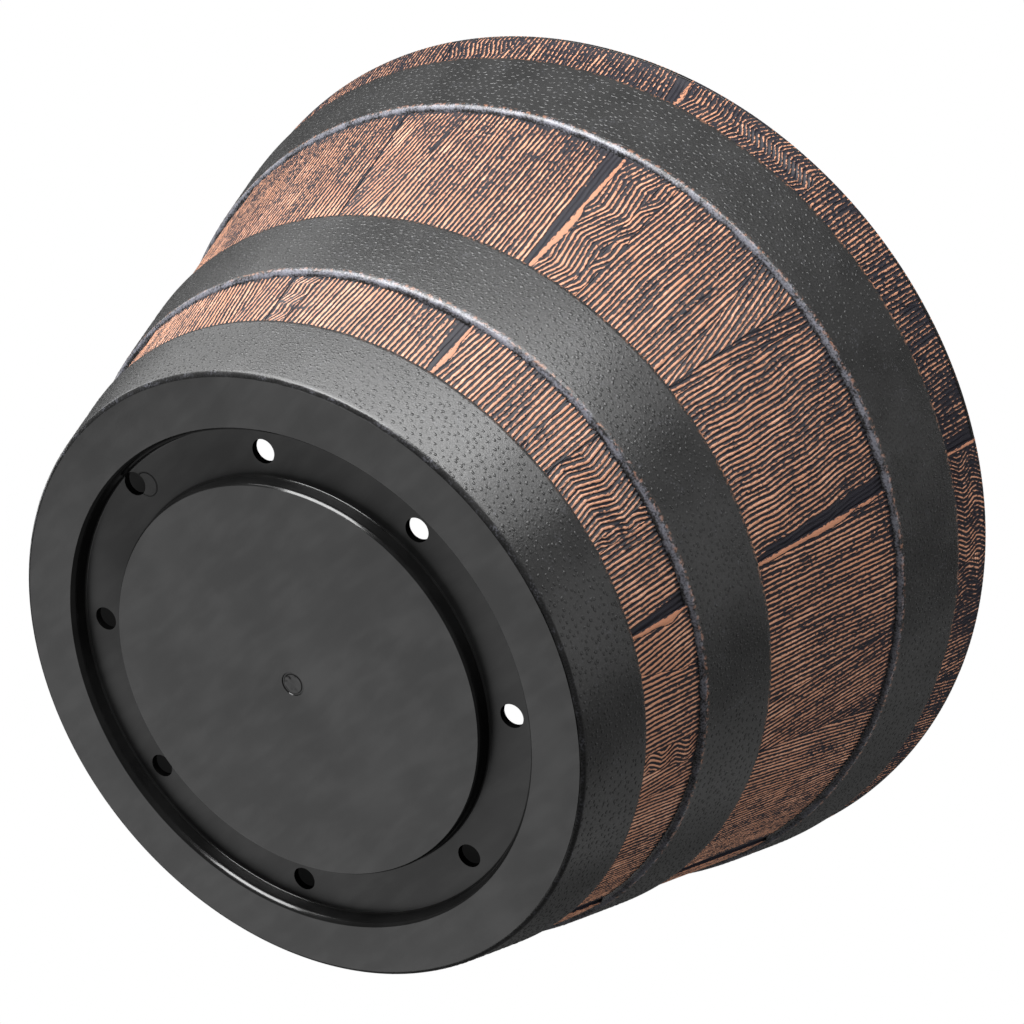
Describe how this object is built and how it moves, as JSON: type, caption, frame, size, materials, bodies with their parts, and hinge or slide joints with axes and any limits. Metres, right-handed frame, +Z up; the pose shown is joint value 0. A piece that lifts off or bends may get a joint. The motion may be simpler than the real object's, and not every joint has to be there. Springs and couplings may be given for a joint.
{
  "type": "barrel planter",
  "caption": "Round tapered resin planter in the form of a half barrel, with wood-look staves that stand proud and sunk by turns, raised dark hoops and a drained base; holds soil and plants.",
  "frame": {"origin": "centre of the foot ring's flat rest face, on the ground", "axes": "+Z up along the planter's axis; -Y faces the side that the reference picture shows; +X to the right of it"},
  "size_m": [0.3915, 0.3916, 0.226],
  "materials": {
    "wood_look_resin": "ridged wood-grain moulding, near-black grooves with copper-brown dry-brushed crests",
    "pebbled_resin": "charcoal, fine pebbled moulding, satin",
    "smooth_resin": "smooth satin black"
  },
  "bodies": {
    "root": {"stave_wall": "wood_look_resin", "bottom_hoop": "pebbled_resin", "middle_hoop": "pebbled_resin", "top_hoop": "pebbled_resin", "base_pan": "smooth_resin", "rim_ring": "smooth_resin"}
  },
  "joints": []
}
